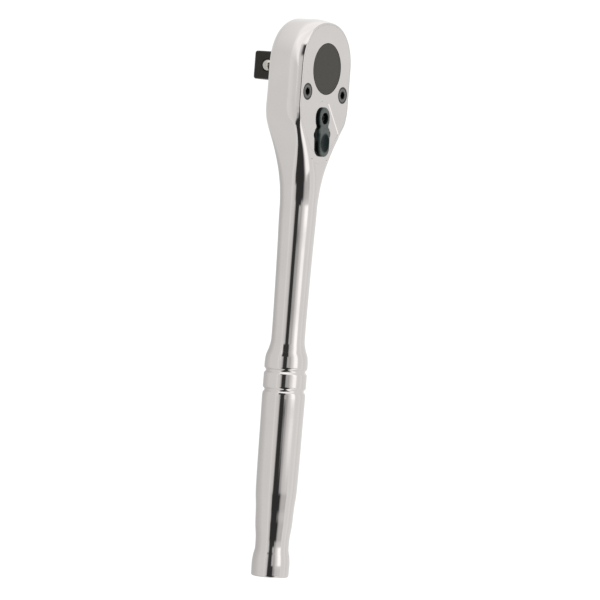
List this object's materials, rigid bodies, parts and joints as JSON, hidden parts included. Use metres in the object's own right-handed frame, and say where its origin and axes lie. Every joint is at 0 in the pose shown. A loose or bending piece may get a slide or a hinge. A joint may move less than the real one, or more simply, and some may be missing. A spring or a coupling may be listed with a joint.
{
  "type": "ratchet wrench",
  "caption": "Half-inch drive ratchet wrench with a pear-shaped chrome head, reversing thumb lever, square drive with detent ball and a one-piece steel handle.",
  "frame": {"origin": "on the drive axis, at the end face of the drive square", "axes": "+X along the handle from the drive axis to the grip end, +Z out of the face with the cover plate and the reversing lever, so the drive square points to -Z"},
  "size_m": [0.2515, 0.0432, 0.0366],
  "materials": {
    "chrome": "full polish chrome plate on forged steel",
    "black_oxide": "satin black oxide",
    "lever_black": "semi-gloss black",
    "screw_black": "dark zinc",
    "bright_steel": "ground and polished",
    "spring_steel": "drawn wire",
    "seal_rubber": "matte"
  },
  "bodies": {
    "handle": {"handle_body": "chrome", "cover_plate": "chrome", "cover_screw_left": "screw_black", "cover_screw_right": "screw_black", "gear_thrust_washer": "bright_steel", "drive_seal_ring": "seal_rubber", "hub_seal_ring": "seal_rubber", "lever_seal_ring": "seal_rubber"},
    "drive": {"drive_gear": "black_oxide", "detent_spring": "spring_steel"},
    "ball": {"detent_ball": "bright_steel"},
    "lever": {"reversing_lever": "lever_black", "lever_screw": "screw_black", "lever_stem": "bright_steel", "plunger_spring": "spring_steel"},
    "plunger": {"pawl_plunger": "bright_steel"},
    "pawl": {"pawl": "black_oxide"}
  },
  "joints": [
    {"name": "drive_spin", "type": "hinge", "parent": "handle", "child": "drive", "pos_m": [0, 0, 0.0257], "axis": [0, 0, 1], "continuous": true},
    {"name": "ball_press", "type": "slide", "parent": "drive", "child": "ball", "axis": [0, 1, 0], "range_m": [0, 0.0012], "stiffness_N_per_m": 500, "springref_m": -0.001, "deforming": ["detent_spring"]},
    {"name": "lever_turn", "type": "hinge", "parent": "handle", "child": "lever", "pos_m": [0.0222, 0, 0.0345], "axis": [0, 0, 1], "range_deg": [-13.5, 4.5]},
    {"name": "pawl_rock", "type": "hinge", "parent": "handle", "child": "pawl", "pos_m": [0.0222, 0, 0.0257], "axis": [0, 0, 1], "range_deg": [-2.15, 6.45]},
    {"name": "plunger_slide", "type": "slide", "parent": "lever", "child": "plunger", "axis": [-0.9969, -0.0785, 0], "range_m": [0, 0.0006], "stiffness_N_per_m": 500, "springref_m": -0.001, "deforming": ["plunger_spring"]}
  ],
  "couplings": [
    {"joint": "pawl_rock", "follows": "lever_turn", "ratio": -0.4777}
  ]
}
